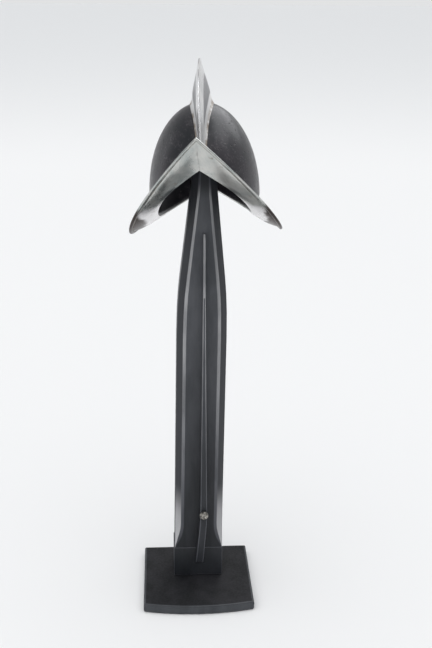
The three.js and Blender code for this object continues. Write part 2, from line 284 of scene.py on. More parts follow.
# %% Sweep the brim
# EDGE_INSET is how far inside the edge's line the roll ends, in mm
EDGE_INSET = 1.2
BRIM_COLUMNS = 320
BRIM_SHARP = 55
GROOVE_FACES = (0, 1, len(ROLL_OUTLINE) - 3, len(ROLL_OUTLINE) - 2)


def brim_surface(u, v):
    """u goes round, v along the section's outline."""
    turn = 2 * math.pi * u
    run = brim_run(turn)
    outward = run.normalized()
    level = Vector((-outward.y, outward.x, 0)).normalized()
    upward = outward.cross(level)
    outline = brim_outline(run.length - ROLL_WIDTH - EDGE_INSET)
    across, height = outline[round(v * BRIM_POINTS)]
    return brim_inner(turn) + outward * across + upward * height


def in_groove(u, v):
    """1 on the faces beside the roll, above and below the sheet."""
    return int(int(v * BRIM_POINTS) - SHEET_STEPS in GROOVE_FACES)


brim_shape = laid_grid(BRIM_COLUMNS, BRIM_POINTS, brim_surface, in_groove)
brim = make_piece("brim_sheet", brim_shape, ["brim"], to_seat, BRIM_SHARP)

# %% [markdown]
# The comb is folded from sheet and stands on the skull like the crest of a wave. From the ridge its
# two faces open like a wedge, and at the foot each one flares out into a narrow strip on the bowl.
# The wedge is measured down from the ridge, so where the comb is low it is also thin.

# %% The comb's tables
# depth below the ridge and half width of the wedge, in mm
WEDGE = [
    (0, 0.9),
    (1.2, 1.5),
    (10, 3.4),
    (22, 6.4),
    (34, 9.9),
    (46, 13.2),
    (56, 15.3),
    (64, 16.4),
    (74, 17.0),
]

# height above the bowl as a share of the flare, and how far the foot stands out as a share of its width
FLARE = [
    (1.0, 0.0),
    (0.8, 0.07),
    (0.6, 0.18),
    (0.44, 0.32),
    (0.3, 0.49),
    (0.19, 0.67),
    (0.11, 0.83),
    (0.07, 0.95),
    (0.05, 1.0),
    (0.0, 1.0),
]

# degrees up from level and half width of the foot as a share of the widest
FOOT = [
    (14, 0.36),
    (28, 0.45),
    (45, 0.63),
    (60, 0.86),
    (75, 0.97),
    (90, 1.0),
]


def smooth_along(table, at):
    """Reads a table through a Hermite curve, so that a polished face has no creases at its rows."""
    last = len(table) - 1
    k = next((i for i in range(last) if at <= table[i + 1][0]), last - 1)
    (x0, y0), (x1, y1) = table[k], table[k + 1]
    before = table[max(k - 1, 0)]
    after = table[min(k + 2, last)]
    slope0 = (y1 - before[1]) / (x1 - before[0])
    slope1 = (after[1] - y0) / (after[0] - x0)
    t = min(1.0, max(0.0, (at - x0) / (x1 - x0)))
    width = x1 - x0
    return (
        y0 * (1 + 2 * t) * (1 - t) ** 2
        + slope0 * width * t * (1 - t) ** 2
        + y1 * t * t * (3 - 2 * t)
        - slope1 * width * t * t * (1 - t)
    )


# %% [markdown]
# The comb's height follows an arch from end to end. Each of its sections is one wedge and one flare on
# either side, cut to that height. Where the comb is low and its foot narrow, limits keep both in
# proportion. Blender could scale one section along a curve, but then the flare would shrink as well.

# %% The comb's section
COMB_HEIGHT = 73.3
COMB_END_HEIGHT = 10
COMB_END_ANGLE = 14
COMB_ARCH = 1.1
COMB_SPAN = 180 - 2 * COMB_END_ANGLE
FOOT_WIDEST = 21
FOOT_FLARE = 17
WEDGE_STEPS = 14

# the most that the flare takes of the height, and the wedge of the foot's half width
FLARE_LIMIT = 0.7
WEDGE_LIMIT = 0.8
COMB_POINTS = 2 * (WEDGE_STEPS + len(FLARE))


def comb_side(degrees):
    """One side of the comb's section, from the ridge to the foot's underside, as width and height."""
    from_end = min(degrees, 180 - degrees)
    bow = max(0.0, math.sin(math.pi * (degrees - COMB_END_ANGLE) / COMB_SPAN))
    height = COMB_END_HEIGHT + (COMB_HEIGHT - COMB_END_HEIGHT) * bow ** COMB_ARCH
    foot = FOOT_WIDEST * smooth_along(FOOT, from_end)
    flare = min(FOOT_FLARE, FLARE_LIMIT * height)
    wedge_depth = height - flare
    depths = [wedge_depth * step / WEDGE_STEPS for step in range(WEDGE_STEPS)]
    wedge = [(min(smooth_along(WEDGE, depth), WEDGE_LIMIT * foot), height - depth) for depth in depths]
    root = min(smooth_along(WEDGE, wedge_depth), WEDGE_LIMIT * foot)
    strip = [(root + (foot - root) * out, flare * up) for up, out in FLARE]
    return wedge + strip


print("the comb's outline has", COMB_POINTS, "points")

# %% [markdown]
# The comb could be cut out of a block with a Boolean, but that leaves long thin faces, which polished
# steel shows. So it is laid over the bowl: by angle from the front up over the crown, and in each
# section by distance across and height above the bowl. It runs a little askew, as on the real helmet.

# %% Lay the comb
COMB_COLUMNS = 180
COMB_SHARP = 50
COMB_END_OFFSET = 4.5
COMB_RIDGE_OFFSET = 1.2


def over_skull(angle, across, height):
    """A point over the bowl: by angle up from level, distance from the comb's middle and height."""
    x = across + COMB_END_OFFSET * math.cos(angle)
    width = SKULL_HALF_WIDTH + FIT
    length = SKULL_HALF_LENGTH + FIT
    rise = SKULL_RISE + FIT
    share = math.sqrt(1 - (x / width) ** 2)
    out = Vector((0, -math.cos(angle) / length, math.sin(angle) / rise)).normalized()
    foot = Vector((x, -length * math.cos(angle) * share, SKULL_WIDEST + rise * math.sin(angle) * share))
    return foot + out * height - Vector((COMB_RIDGE_OFFSET * height / COMB_HEIGHT, 0, 0))


def comb_surface(u, v):
    """u goes along the comb, v up one face to the ridge and down the other."""
    degrees = COMB_END_ANGLE + COMB_SPAN * u
    side = comb_side(degrees)
    outline = [(-width, height) for width, height in reversed(side)] + side
    across, height = outline[round(v * (COMB_POINTS - 1))]
    return over_skull(math.radians(degrees), across, height)


comb_shape = laid_grid(COMB_COLUMNS, COMB_POINTS - 1, comb_surface)
close_ends(comb_shape)
comb = make_piece("comb_crest", comb_shape, ["comb"], to_seat, COMB_SHARP)

# %% [markdown]
# The stand is sawn from wood, and a sawn edge is never quite sharp. On the post and the rib each corner
# of the section is eased by a curve, wide enough at the front to catch the light and to get rubbed.
# A Bevel modifier could do that, but with the curve in the section it can grow and shrink with height,
# and its faces are easy to count out for a second, lighter finish, which is partly wear and partly a
# painted highlight.

# %% Sections with eased corners
WOOD = 0
SECOND_FINISH = 1
CUT_PAINTED_LIGHT = 2
EASE_STEPS = 4


def eased(corners):
    """Rounds the corners of a closed outline. Each corner is x, y and how far along its sides it is cut."""
    outline = []
    for k, (x, y, cut) in enumerate(corners):
        here = Vector((x, y))
        before = Vector(corners[k - 1][:2])
        after = Vector(corners[(k + 1) % len(corners)][:2])
        start = here + (before - here).normalized() * cut
        end = here + (after - here).normalized() * cut
        for step in range(EASE_STEPS):
            t = step / (EASE_STEPS - 1)
            outline.append(start * (1 - t) ** 2 + here * 2 * t * (1 - t) + end * t * t)
    return outline


def round_of(corner):
    """The places in an eased outline of the faces that round this corner."""
    return [corner * EASE_STEPS + step for step in range(EASE_STEPS - 1)]


def flat_after(corner):
    """The place of the flat face between this corner and the next."""
    return (corner + 1) * EASE_STEPS - 1


def by_corner(corners, finishes):
    """Gives each face of a loft its finish by where it is in the outline: {place: finish}."""
    return lambda u, v: finishes.get(int(u * corners * EASE_STEPS), WOOD)


# %% [markdown]
# A bar whose section changes along its length is lofted: a tube of faces is laid through the sections,
# row by row, and its two ends are closed. A table says in shares how the section changes, and the loft
# gets a row at each line of the table and at even steps between.

# %% Lofts along z
LOFT_STEPS = 40


def along(table, at):
    """Reads a table of (position, value, ...) rows, straight between its rows."""
    for low, high in zip(table, table[1:]):
        if at <= high[0]:
            share = max(0.0, (at - low[0]) / (high[0] - low[0]))
            return [a + (b - a) * share for a, b in zip(low[1:], high[1:])]
    return list(table[-1][1:])


def lofted(table, section, finish):
    """A closed loft along z through section(share), which gives x and y points and a height, all in mm."""
    rows = sorted({row[0] for row in table} | {step / LOFT_STEPS for step in range(LOFT_STEPS + 1)})
    outlines = [section(share) for share in rows]
    count = len(outlines[0][0])

    def place(u, v):
        points, z = outlines[round(v * (len(rows) - 1))]
        point = points[round(u * count) % count]
        return point.x, point.y, z

    shape = laid_grid(count, len(rows) - 1, place, finish)
    close_ends(shape)
    return shape


# %% [markdown]
# The post stands up straight to above its middle and then tapers into the helmet. Its front corners
# are cut off at 45 degrees, and at the foot the cut runs out in a cove. A box with two bevelled edges
# would do for the plain stretch, but not for cove and taper, so the post is lofted.

# %% The post's sections
STAND_FRONT = -8
POST_FOOT = 80.1
POST_HEIGHT = 780
POST_FOOT_X = 2
POST_LEAN = 10.5
POST_HALF_WIDTH = 45.5
POST_TOP_HALF_WIDTH = 20
POST_DEPTH = 60
POST_TOP_DEPTH = 46
POST_CORNER = 13.6
POST_EDGE = 1
POST_ARRIS = 3.4
POST_ARRIS_TAPER = 1.3

# where the corner is cut off only a little, its rounds take no more than these shares of the cut
SIDE_EDGE_LIMIT = 0.3
ARRIS_LIMIT = 0.4

# share of the height, then shares of the taper and of the corner's cut
POST_SECTIONS = [
    (0, 0, 0.05),
    (0.006, 0, 0.16),
    (0.018, 0, 0.45),
    (0.034, 0, 0.76),
    (0.05, 0, 0.95),
    (0.063, 0, 1),
    (0.54, 0, 1),
    (0.6, 0.03, 1),
    (0.645, 0.1, 1),
    (0.685, 0.21, 1),
    (0.88, 0.85, 1),
    (0.95, 0.97, 0.95),
    (1, 1, 0.9),
]


def post_section(share):
    taper, cut = along(POST_SECTIONS, share)
    half = POST_HALF_WIDTH + (POST_TOP_HALF_WIDTH - POST_HALF_WIDTH) * taper
    back = STAND_FRONT + POST_DEPTH + (POST_TOP_DEPTH - POST_DEPTH) * taper
    corner = POST_CORNER * cut
    arris = min(POST_ARRIS - POST_ARRIS_TAPER * taper, ARRIS_LIMIT * corner)
    side = [
        (half, back, POST_EDGE),
        (half, STAND_FRONT + corner, min(POST_EDGE, SIDE_EDGE_LIMIT * corner)),
        (half - corner, STAND_FRONT, arris),
    ]
    outline = eased(side + [(-x, y, ease) for x, y, ease in reversed(side)])
    middle = Vector((POST_FOOT_X + POST_LEAN * share, 0))
    return [middle + point for point in outline], POST_FOOT + POST_HEIGHT * share


print("the post rises to", POST_FOOT + POST_HEIGHT, "mm")

# %% [markdown]
# Seen from above, the post's six corners run from the right of its back round by the front. Corners 2
# and 3 are the front arrises, which take the paler finish of wear and painted highlight. The cut faces lie
# between 1 and 2 and between 3 and 4, and are painted light grey at the foot.

# %% Loft the post
POST_CORNERS = 6
WOOD_SHARP = 30

post_faces = {face: SECOND_FINISH for face in round_of(2) + round_of(3)}
post_faces.update({flat_after(1): CUT_PAINTED_LIGHT, flat_after(3): CUT_PAINTED_LIGHT})
post_shape = lofted(POST_SECTIONS, post_section, by_corner(POST_CORNERS, post_faces))
post = make_piece("post_wood", post_shape, ["post"], sharp=WOOD_SHARP)

# %% [markdown]
# The rib is a bar let on to the post's front. It narrows and thins upwards, and its foot swings aside.
# It could be a box that is scaled and bent, but a table like the post's says all three at one height.

# %% The rib's sections
RIB_X = 11
RIB_FOOT_SWING = 8
RIB_Z = 50
RIB_HEIGHT = 648
RIB_HALF_WIDTH = 6.5
RIB_DEPTH = 26
RIB_BACK_EDGE = 0.3
RIB_ARRIS = 1.7
RIB_ARRIS_LIMIT = 0.47

# share of the height, then how far it stands out, its width and its swing, as shares
RIB_SECTIONS = [
    (0, 0.25, 1.1, 1),
    (0.012, 0.7, 1.1, 0.93),
    (0.05, 0.92, 1.06, 0.7),
    (0.1, 1, 1.02, 0.36),
    (0.14, 1, 1, 0.1),
    (0.18, 1, 0.97, 0),
    (0.55, 0.8, 0.6, 0),
    (0.86, 0.6, 0.32, 0),
    (0.985, 0.5, 0.29, 0),
    (1, 0.3, 0.26, 0),
]


def rib_section(share):
    out, wide, swing = along(RIB_SECTIONS, share)
    half = RIB_HALF_WIDTH * wide
    back = STAND_FRONT - FIT
    front = back - RIB_DEPTH * out
    arris = min(RIB_ARRIS, RIB_ARRIS_LIMIT * half)
    outline = eased([
        (half, back, RIB_BACK_EDGE),
        (half, front, arris),
        (-half, front, arris),
        (-half, back, RIB_BACK_EDGE),
    ])
    middle = Vector((RIB_X - RIB_FOOT_SWING * swing, 0))
    return [middle + point for point in outline], RIB_Z + RIB_HEIGHT * share


print("the rib rises to", RIB_Z + RIB_HEIGHT, "mm")

# %% [markdown]
# The rib's two front arrises take the lighter finish, partly where hands and cloths have rubbed them and
# partly as a painted highlight.
# Towards its thin top the whole of its front takes it, so there the flat between them is painted lighter
# too, as a painted highlight.

# %% Loft the rib
RIB_CORNERS = 4
RIB_PALE_FROM = 0.8

rib_faces = {face: SECOND_FINISH for face in round_of(1) + round_of(2)}
rib_finish = by_corner(RIB_CORNERS, rib_faces)
rib_top_finish = by_corner(RIB_CORNERS, {**rib_faces, flat_after(1): SECOND_FINISH})


def worn_and_lit_rib(u, v):
    return rib_top_finish(u, v) if v > RIB_PALE_FROM else rib_finish(u, v)


rib_shape = lofted(RIB_SECTIONS, rib_section, worn_and_lit_rib)
front_rib = make_piece("rib_wood", rib_shape, ["front_rib"], sharp=WOOD_SHARP)

# %% [markdown]
# The base, the foot block, the rest and the stud keep the shape of their nodes. Each is copied, its
# triangles are joined back into flat faces, and its edges get a small round of their own.
# A Bevel modifier rounds edges too, but the operator also says which faces are the rounds, and those
# take the second finish. On the base, the faces that stand upright take it as well, which is painted light
# that makes them paler than its top.

# %% The other pieces of the stand
FLAT_ANGLE = math.radians(0.3)
EDGE_ANGLE = math.radians(24)
BASE_ROUND = 1.5
BLOCK_ROUND = 0.8
STUD_ROUND = 0.5
UPRIGHT = 0.5


def softened(node, name, radius, steps=3):
    """A copy of a node with its edges rounded. The rounds take the second finish."""
    shape = bmesh.new()
    shape.from_mesh(bpy.data.objects[node].data)
    bmesh.ops.remove_doubles(shape, verts=shape.verts, dist=WELD)
    bmesh.ops.dissolve_limit(shape, angle_limit=FLAT_ANGLE, verts=shape.verts, edges=shape.edges)
    edges = [edge for edge in shape.edges if edge.is_manifold and edge.calc_face_angle() > EDGE_ANGLE]
    rounds = bmesh.ops.bevel(
        shape,
        geom=edges,
        offset=radius * MM,
        offset_type="OFFSET",
        affect="EDGES",
        segments=steps,
        profile=0.5,
        material=-1,
        clamp_overlap=True,
    )
    for face in rounds["faces"]:
        face.material_index = SECOND_FINISH
    bmesh.ops.triangulate(shape, faces=[face for face in shape.faces if len(face.verts) > 4])
    return make_piece(name, shape, [node])


base_plate = softened("base_plate", "base_board", BASE_ROUND, steps=5)
# the base's upright faces take the paler finish: painted light, paler than the top
for face in base_plate.data.polygons:
    if abs(face.normal.z) < UPRIGHT:
        face.material_index = SECOND_FINISH
foot_block = softened("foot_block", "foot_wood", BLOCK_ROUND)
head_rest = softened("head_rest", "rest_wood", BLOCK_ROUND)
stud = softened("stud", "stud_head", STUD_ROUND)

# %% [markdown]
# A finish is a tree of nodes that feeds one Principled shader. The trees here are built by a small
# class, which grows over the next cells: first it makes a tree, adds nodes and joins them.
# The same trees can be drawn by hand in the Shader Editor, but code can repeat them with other numbers.

# %% A tree of nodes
def fill(node, values):
    """Sets a node's sockets by name. An underscore stands for a space."""
    for socket, value in values.items():
        node.inputs[socket.replace("_", " ")].default_value = value


class NodeTree:
    """One material with a Principled shader."""

    def __init__(self, name):
        self.material = bpy.data.materials.new(name)
        self.material.use_nodes = True
        self.tree = self.material.node_tree
        self.tree.nodes.clear()
        output = self.node("ShaderNodeOutputMaterial")
        self.shader = self.node("ShaderNodeBsdfPrincipled")
        self.join(self.shader.outputs["BSDF"], output.inputs["Surface"])

    def node(self, kind, **values):
        added = self.tree.nodes.new(kind)
        fill(added, values)
        return added

    def join(self, source, target):
        self.tree.links.new(source, target)

    def set(self, **values):
        fill(self.shader, values)


# %% [markdown]
# Patterns are read from Object coordinates. Every object here has its origin at the stand's foot, so
# these are plain metres, and no sheet needs a UV map, which would put a seam across polished steel.
# A Mapping node of the Texture kind turns them back into the helmet's own level frame wherever a
# pattern runs along one of its parts.

# %% Places and patterns
class PatternTree(NodeTree):
    """Adds places and patterns."""

    def place(self, stretch=(1, 1, 1), helmet=False):
        """Object coordinates, in the helmet's frame if asked, stretched before a pattern reads them."""
        source = self.node("ShaderNodeTexCoord").outputs["Object"]
        if helmet:
            level = self.node("ShaderNodeMapping", Location=HELMET_ORIGIN, Rotation=HELMET_TURN)
            level.vector_type = "TEXTURE"
            self.join(source, level.inputs["Vector"])
            source = level.outputs["Vector"]
        mapping = self.node("ShaderNodeMapping", Scale=stretch)
        self.join(source, mapping.inputs["Vector"])
        return mapping.outputs["Vector"]

    def parts(self, vector):
        """Takes a place apart into x, y and z."""
        node = self.node("ShaderNodeSeparateXYZ")
        self.join(vector, node.inputs["Vector"])
        return [node.outputs[axis] for axis in "XYZ"]

    def length(self, vector):
        node = self.node("ShaderNodeVectorMath")
        node.operation = "LENGTH"
        self.join(vector, node.inputs[0])
        return node.outputs["Value"]

    def clouds(self, scale, detail=4, roughness=0.55, distortion=0.0, stretch=(1, 1, 1), helmet=False):
        """Noise, with its scale in clouds to the metre."""
        node = self.node("ShaderNodeTexNoise", Scale=scale, Detail=detail)
        fill(node, {"Roughness": roughness, "Distortion": distortion})
        self.join(self.place(stretch, helmet), node.inputs["Vector"])
        return node.outputs["Fac"]

    def cells(self, scale):
        """Distance to the nearest of scattered points, with their scale to the metre."""
        node = self.node("ShaderNodeTexVoronoi", Scale=scale)
        self.join(self.place(), node.inputs["Vector"])
        return node.outputs["Distance"]


# %% [markdown]
# A pattern's values are then put to work: stretched over a range, added and multiplied, or used as the
# share in which two colours are mixed. Noise stays mostly between 0.3 and 0.7, so many ranges run
# between those.

# %% Values and colours worked out from patterns
# A Mix node has sockets for each kind of data, and those for colours are at these places
MIX_LOW = 6
MIX_HIGH = 7
MIX_RESULT = 2


class ValueTree(PatternTree):
    """Adds arithmetic and mixing."""

    def span(self, value, low, high, to_low=0.0, to_high=1.0):
        """Carries the range from low to high over to another, softly, and stops at its ends."""
        node = self.node("ShaderNodeMapRange", From_Min=low, From_Max=high, To_Min=to_low, To_Max=to_high)
        node.interpolation_type = "SMOOTHSTEP"
        self.join(value, node.inputs["Value"])
        return node.outputs["Result"]

    def reckon(self, how, a, b):
        """Works out one value from two, each a node's output or a number."""
        node = self.node("ShaderNodeMath")
        node.operation = how
        for socket, value in zip(node.inputs, (a, b)):
            if isinstance(value, (int, float)):
                socket.default_value = value
            else:
                self.join(value, socket)
        return node.outputs["Value"]

    def add(self, a, b):
        return self.reckon("ADD", a, b)

    def times(self, a, b):
        return self.reckon("MULTIPLY", a, b)

    def unsigned(self, a):
        return self.reckon("ABSOLUTE", a, 0)

    def blend(self, share, low, high):
        """Mixes two colours, each a node's output or three numbers."""
        node = self.node("ShaderNodeMix")
        node.data_type = "RGBA"
        self.join(share, node.inputs["Factor"])
        for socket, colour in ((node.inputs[MIX_LOW], low), (node.inputs[MIX_HIGH], high)):
            if isinstance(colour, tuple):
                socket.default_value = (*colour, 1)
            else:
                self.join(colour, socket)
        return node.outputs[MIX_RESULT]


# %% [markdown]
# What is worked out goes into the shader's colour, roughness and relief. Relief is given in layers, in
# millimetres, and each Bump node takes the one before it as its normal, so that all of them show.

# %% A finish
class Finish(ValueTree):
    """A finish that can be put on pieces."""

    bumped = None

    def colour(self, source):
        self.join(source, self.shader.inputs["Base Color"])

    def rough(self, source):
        self.join(source, self.shader.inputs["Roughness"])

    def bump(self, height, depth, strength):
        """Adds one layer of relief, depth in mm, on top of those before it."""
        node = self.node("ShaderNodeBump", Distance=depth * MM, Strength=strength)
        self.join(height, node.inputs["Height"])
        if self.bumped is not None:
            self.join(self.bumped, node.inputs["Normal"])
        self.bumped = node.outputs["Normal"]
        self.join(self.bumped, self.shader.inputs["Normal"])

    def put_on(self, *pieces):
        for piece in pieces:
            piece.data.materials.append(self.material)
        print(self.material.name, "is on", ", ".join(piece.name for piece in pieces))


# %% [markdown]
# Black paint on a hammered bowl: satin, a little warm where it is rubbed, with small pits where rust
# once sat. A thin coat, like wax, lies over it and shines most where it is seen from the side, so the
# bowl's edges are paler than its middle. A gradient in the colour could fake that for one view and
# would be wrong in the others, so no light is painted in.

# %% Skull paint
PAINT_DARK = (0.006, 0.0075, 0.0105)
PAINT_LIGHT = (0.018, 0.015, 0.0205)
PAINT_RUBBED = (0.066, 0.061, 0.068)
PIT_DEPTH = 0.8

paint = Finish("skull_black_paint")
paint.set(Metallic=0.0, IOR=1.5, Specular_IOR_Level=0.27)
paint.set(Coat_Weight=0.42, Coat_Roughness=0.28, Coat_IOR=1.5)
cloud = paint.clouds(11, detail=5, helmet=True)
mottle = paint.clouds(75, detail=6, roughness=0.7)
speck = paint.clouds(420, detail=3)
tone = paint.blend(paint.span(cloud, 0.38, 0.66), PAINT_DARK, PAINT_LIGHT)
rubbing = paint.span(paint.times(mottle, speck), 0.26, 0.4)
paint.colour(paint.blend(rubbing, tone, PAINT_RUBBED))
pit_places = paint.span(paint.clouds(24, detail=2), 0.46, 0.56)
pits = paint.times(paint.span(paint.cells(120), 0.05, 0.22, 1.0, 0.0), pit_places)
satin = paint.add(paint.span(mottle, 0.3, 0.7, 0.3, 0.54), paint.span(cloud, 0.35, 0.65, -0.02, 0.05))
paint.rough(paint.add(satin, paint.times(pits, 0.4)))
paint.bump(pits, -PIT_DEPTH, 0.8)
paint.bump(cloud, 1.4, 0.3)
paint.bump(mottle, 0.25, 0.5)
paint.bump(speck, 0.05, 0.6)
paint.join(paint.bumped, paint.shader.inputs["Coat Normal"])
paint.put_on(skull)

# %% [markdown]
# The brim is satin steel: clean metal with a fine grain, cloudy where hands and damp have dulled it.
# Roughness varies with the clouds, so the sheen breaks up. The sides between the two peaks are painted
# brightest, a painted reflection of the pale floor, and their tips are painted dark brown, partly rust and
# partly a painted dark reflection. Both change with the place along and across the helmet, which needs no
# mask to be painted, and noise added to the place makes the change ragged.

# %% Brim steel
PAINTED_REFLECTION_SIDE = (0.070, 0.078)
RUSTY_DARK_TIP_SPAN = (0.1005, 0.1100)
PEAK_DARK = (0.40, 0.43, 0.42)
PEAK_LIGHT = (0.60, 0.60, 0.575)
SIDE_PAINTED_REFLECTION = (0.76, 0.75, 0.755)
BRIM_STAIN = (0.25, 0.21, 0.17)
TIP_RUST_AND_DARK_REFLECTION = (0.056, 0.046, 0.043)

steel = Finish("brim_satin_steel")
steel.set(Metallic=1.0)
cloud = steel.clouds(18, detail=6, roughness=0.6, distortion=0.5, helmet=True)
patch = steel.clouds(8, detail=3, helmet=True)
blot = steel.clouds(46, detail=6, roughness=0.7)
across, lengthwise = steel.parts(steel.place(helmet=True))[:2]
from_side = steel.add(steel.unsigned(lengthwise), steel.span(blot, 0.3, 0.7, -0.006, 0.006))
# painted reflection: the sides between the peaks are painted bright
side = steel.span(from_side, *PAINTED_REFLECTION_SIDE, 1.0, 0.0)
ragged = steel.span(steel.clouds(30, detail=3), 0.3, 0.7, -0.005, 0.005)
# the tips are painted dark brown, partly rust and partly a painted dark reflection
rusty_dark_tip = steel.span(steel.add(steel.unsigned(across), ragged), *RUSTY_DARK_TIP_SPAN)
peak_tone = steel.blend(steel.span(cloud, 0.36, 0.64), PEAK_DARK, PEAK_LIGHT)
tone = steel.blend(side, peak_tone, SIDE_PAINTED_REFLECTION)
stained = steel.blend(steel.span(blot, 0.6, 0.72), tone, BRIM_STAIN)
steel.colour(steel.blend(rusty_dark_tip, stained, TIP_RUST_AND_DARK_REFLECTION))
steel.rough(steel.add(steel.span(cloud, 0.3, 0.7, 0.22, 0.3), steel.span(patch, 0.3, 0.7, -0.03, 0.05)))
steel.bump(patch, 1.0, 0.4)
steel.bump(steel.clouds(60, detail=3, stretch=(1, 6, 6), helmet=True), 0.04, 0.4)
steel.put_on(brim)

# %% [markdown]
# Dirt and rust sit in the groove beside the rolled edge, where no cloth reaches. Nodes can find hollow
# places by themselves, but here the faces are known, so they have a finish of their own.

# %% Dirt in the groove
CRUST_DARK = (0.05, 0.038, 0.03)
CRUST_LIGHT = (0.34, 0.30, 0.25)

grime = Finish("brim_groove_stain")
grime.set(Metallic=0.6)
crust = grime.clouds(60, detail=6, roughness=0.7)
grime.colour(grime.blend(grime.span(crust, 0.38, 0.62), CRUST_DARK, CRUST_LIGHT))
grime.rough(grime.span(crust, 0.3, 0.7, 0.6, 0.42))
grime.bump(crust, 0.2, 0.5)
grime.put_on(brim)

# %% [markdown]
# The comb's finish changes with height above the bowl. That height could be kept in an attribute, but
# the bowl is half an egg, so it can be worked out. The place is squeezed so that the bowl becomes a
# ball of radius 1, and the distance past 1, times the bowl's rise, comes close to the height.

# %% Height above the bowl
def above_bowl(finish):
    halves = [half * MM for half in (SKULL_HALF_WIDTH, SKULL_HALF_LENGTH, SKULL_RISE)]
    ball = finish.node("ShaderNodeMapping", Location=(0, 0, SKULL_WIDEST * MM), Scale=halves)
    ball.vector_type = "TEXTURE"
    finish.join(finish.place(helmet=True), ball.inputs["Vector"])
    over_one = finish.add(finish.length(ball.outputs["Vector"]), -1)
    return finish.times(over_one, SKULL_RISE * MM)


# %% [markdown]
# A strip along the ridge keeps the bright steel. Lower on each face, down to where the sheet sweeps out
# over the bowl, the steel is painted darker as a painted dark reflection and is a little rougher, and next
# to the paint it is brown.
# The polish runs along the comb in streaks, which are clouds drawn out lengthwise.

# %% Comb steel
RIDGE_STRIP = 0.0062
STRIP_EDGE = 0.0005
COMB_TURN = 0.026
DARK_REFLECTION_FROM = (0.0150, 0.0185)
BROWN_UP_TO = (0.0015, 0.0100)
DULL_BY_BOWL = (0.0040, 0.0420)
COMB_HAZY = (0.66, 0.66, 0.668)
COMB_CLEAN = (0.82, 0.815, 0.805)
COMB_DARK_REFLECTION = (0.28, 0.28, 0.29)
COMB_BROWN = (0.30, 0.25, 0.205)

bright = Finish("comb_bright_steel")
bright.set(Metallic=1.0)
above = above_bowl(bright)
across, lengthwise = bright.parts(bright.place(helmet=True))[:2]
from_ridge = bright.unsigned(bright.add(across, bright.times(lengthwise, COMB_TURN)))
off_strip = bright.span(from_ridge, RIDGE_STRIP - STRIP_EDGE, RIDGE_STRIP + STRIP_EDGE)
# painted dark reflection on the comb's faces below the ridge strip
dark_reflection_face = bright.times(off_strip, bright.span(above, *DARK_REFLECTION_FROM))
streak = bright.clouds(40, detail=4, stretch=(5, 0.5, 0.5), helmet=True)
haze = bright.clouds(25, detail=5, helmet=True)
blot = bright.clouds(60, detail=5, roughness=0.65, helmet=True)
clean = bright.blend(bright.span(haze, 0.35, 0.7), COMB_HAZY, COMB_CLEAN)
faced = bright.blend(dark_reflection_face, clean, COMB_DARK_REFLECTION)
brown = bright.times(bright.span(above, *BROWN_UP_TO, 1.0, 0.0), bright.span(blot, 0.4, 0.6))
bright.colour(bright.blend(brown, faced, COMB_BROWN))
polish = bright.add(bright.span(streak, 0.3, 0.7, 0.17, 0.29), bright.span(dark_reflection_face, 0, 1, 0.0, 0.06))
bright.rough(bright.add(polish, bright.span(above, *DULL_BY_BOWL, 0.28, 0.0)))
bright.bump(haze, 0.5, 0.5)
bright.put_on(comb)

# %% [markdown]
# The stud is a small knob of plain steel, dull and scuffed. One noise drives colour, roughness and
# relief together, because what stands out is rubbed brighter and smoother.

# %% Stud steel
SCUFF_DARK = (0.10, 0.095, 0.09)
SCUFF_LIGHT = (0.46, 0.44, 0.40)

dull = Finish("stud_dull_steel")
dull.set(Metallic=1.0)
scuff = dull.clouds(240, detail=5, roughness=0.7)
dull.colour(dull.blend(dull.span(scuff, 0.4, 0.62), SCUFF_DARK, SCUFF_LIGHT))
dull.rough(dull.span(scuff, 0.35, 0.65, 0.5, 0.32))
dull.bump(scuff, 0.3, 0.7)
dull.put_on(stud)
# its rounds read the second slot, which holds the same finish
stud.data.materials.append(dull.material)

# %% [markdown]
# The stand is black stained wood under a thin satin finish. Grain runs up the post and the pores stay
# open: noise that is drawn out in height gives both. Up the post the colour is painted paler as painted
# light, and inside the helmet it is painted black again as painted shade.

# %% Stand wood
LIT_UPWARDS = (0.12, 0.62)
SHADED_INSIDE_HELMET = (0.755, 0.790)
FIBRE = (1, 1, 0.05)
FIGURE = (1, 1, 0.25)


def stand_wood(name, low, high, rough, top=None, spec=0.4):
    """Stained wood with the grain up z. Its colour runs between two pairs, from the foot to the top. The
    top pair is painted light, and inside the helmet the colour goes back to the first pair as painted
    shade.
    """
    finish = Finish(name)
    finish.set(Metallic=0.0, IOR=1.45, Specular_IOR_Level=spec)
    fibre = finish.clouds(260, detail=4, stretch=FIBRE)
    figure = finish.clouds(26, detail=5, roughness=0.6, stretch=FIGURE)
    share = finish.span(figure, 0.35, 0.65)
    tone = finish.blend(share, low, high)
    if top is not None:
        # painted light: paler towards the top of the post; painted shade: dark again inside the helmet
        height = finish.parts(finish.place())[2]
        unshaded = finish.span(height, *SHADED_INSIDE_HELMET, 1.0, 0.0)
        lit_share = finish.times(finish.span(height, *LIT_UPWARDS), unshaded)
        tone = finish.blend(lit_share, tone, finish.blend(share, *top))
    finish.colour(tone)
    finish.rough(finish.span(fibre, 0.3, 0.7, *rough))
    finish.bump(fibre, 0.12, 0.5)
    return finish


# %% [markdown]
# All of the stand's black wood has one finish. The base has a darker and duller copy of it,
# painted darker as painted shade on the base's top.

# %% Black wood
WOOD_DARK = (0.014, 0.016, 0.019)
WOOD_LIGHT = (0.024, 0.026, 0.031)
WOOD_LIT_TOP = ((0.052, 0.056, 0.064), (0.078, 0.082, 0.092))
WOOD_ROUGH = (0.42, 0.58)
BOARD_SHADED_DARK = (0.009, 0.0095, 0.011)
BOARD_SHADED_LIGHT = (0.017, 0.017, 0.020)
BOARD_ROUGH = (0.58, 0.72)

